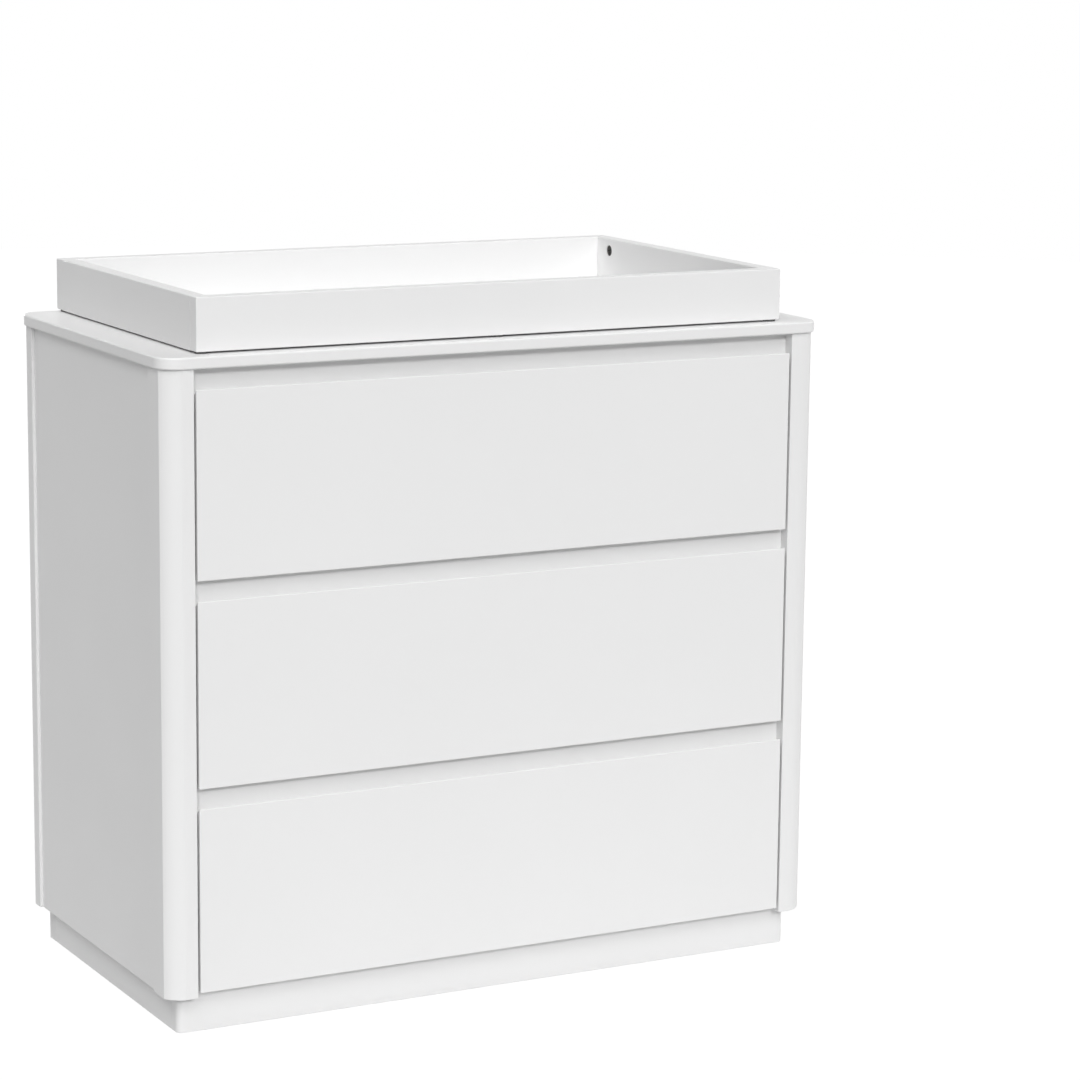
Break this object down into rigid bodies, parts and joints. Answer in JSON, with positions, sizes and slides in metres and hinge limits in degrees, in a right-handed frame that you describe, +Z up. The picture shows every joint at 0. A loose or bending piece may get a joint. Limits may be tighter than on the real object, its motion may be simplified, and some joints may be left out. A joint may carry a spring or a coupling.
{
  "type": "changing table dresser",
  "caption": "White dresser with wide handle-less drawers, finger grooves, rounded corner posts, a recessed plinth and a removable changing tray on top.",
  "frame": {"origin": "middle of the top panel's outline, on the floor under the plinth", "axes": "+Z up; -Y out of the drawer fronts; +X to the right of someone facing the fronts"},
  "size_m": [0.92, 0.495, 0.9085],
  "materials": {
    "white_lacquer": "satin white paint on board",
    "drawer_wood": "clear lacquer on pale plywood",
    "dowel_wood": "bare fluted beech",
    "zinc_fitting": "zinc plated",
    "slide_steel": "galvanised sheet",
    "pad_rubber": "matt"
  },
  "bodies": {
    "carcass": {"top_panel": "white_lacquer", "side_panel_left": "white_lacquer", "side_panel_right": "white_lacquer", "post_front_left": "white_lacquer", "post_front_right": "white_lacquer", "post_back_left": "white_lacquer", "post_back_right": "white_lacquer", "back_panel": "white_lacquer", "bottom_panel": "white_lacquer", "top_rail_front": "white_lacquer", "top_rail_back": "white_lacquer", "divider_rail_upper": "white_lacquer", "divider_rail_lower": "white_lacquer", "runner_rails": "white_lacquer", "plinth_front": "white_lacquer", "plinth_back": "white_lacquer", "plinth_left": "white_lacquer", "plinth_right": "white_lacquer", "carcass_cam_locks": "zinc_fitting", "carcass_cam_bolts": "zinc_fitting", "top_fixing_screws": "zinc_fitting", "back_panel_screws": "zinc_fitting", "slide_screws": "zinc_fitting", "carcass_dowels": "dowel_wood", "upper_slide_channels": "slide_steel", "middle_slide_channels": "slide_steel", "lower_slide_channels": "slide_steel"},
    "tray": {"tray_wall_front": "white_lacquer", "tray_wall_back": "white_lacquer", "tray_wall_left": "white_lacquer", "tray_wall_right": "white_lacquer", "tray_floor": "white_lacquer", "tray_cam_locks": "zinc_fitting", "tray_cam_bolts": "zinc_fitting", "tray_dowels": "dowel_wood", "tray_pads": "pad_rubber"},
    "upper_cages": {"upper_ball_cages": "slide_steel"},
    "upper_drawer": {"upper_slide_rails": "slide_steel", "upper_drawer_front": "white_lacquer", "upper_drawer_side_left": "drawer_wood", "upper_drawer_side_right": "drawer_wood", "upper_drawer_back": "drawer_wood", "upper_drawer_bottom": "drawer_wood", "upper_drawer_fasteners": "zinc_fitting"},
    "middle_cages": {"middle_ball_cages": "slide_steel"},
    "middle_drawer": {"middle_slide_rails": "slide_steel", "middle_drawer_front": "white_lacquer", "middle_drawer_side_left": "drawer_wood", "middle_drawer_side_right": "drawer_wood", "middle_drawer_back": "drawer_wood", "middle_drawer_bottom": "drawer_wood", "middle_drawer_fasteners": "zinc_fitting"},
    "lower_cages": {"lower_ball_cages": "slide_steel"},
    "lower_drawer": {"lower_slide_rails": "slide_steel", "lower_drawer_front": "white_lacquer", "lower_drawer_side_left": "drawer_wood", "lower_drawer_side_right": "drawer_wood", "lower_drawer_back": "drawer_wood", "lower_drawer_bottom": "drawer_wood", "lower_drawer_fasteners": "zinc_fitting"}
  },
  "joints": [
    {"name": "upper_drawer_slide", "type": "slide", "parent": "carcass", "child": "upper_drawer", "axis": [0, -1, 0], "range_m": [0, 0.34]},
    {"name": "upper_cage_roll", "type": "slide", "parent": "carcass", "child": "upper_cages", "axis": [0, -1, 0], "range_m": [0, 0.17]},
    {"name": "middle_drawer_slide", "type": "slide", "parent": "carcass", "child": "middle_drawer", "axis": [0, -1, 0], "range_m": [0, 0.34]},
    {"name": "middle_cage_roll", "type": "slide", "parent": "carcass", "child": "middle_cages", "axis": [0, -1, 0], "range_m": [0, 0.17]},
    {"name": "lower_drawer_slide", "type": "slide", "parent": "carcass", "child": "lower_drawer", "axis": [0, -1, 0], "range_m": [0, 0.34]},
    {"name": "lower_cage_roll", "type": "slide", "parent": "carcass", "child": "lower_cages", "axis": [0, -1, 0], "range_m": [0, 0.17]},
    {"name": "tray_lift", "type": "slide", "parent": "carcass", "child": "tray", "axis": [0, 0, 1], "range_m": [0, 0.1]}
  ],
  "couplings": [
    {"joint": "upper_cage_roll", "follows": "upper_drawer_slide", "ratio": 0.5},
    {"joint": "middle_cage_roll", "follows": "middle_drawer_slide", "ratio": 0.5},
    {"joint": "lower_cage_roll", "follows": "lower_drawer_slide", "ratio": 0.5}
  ]
}
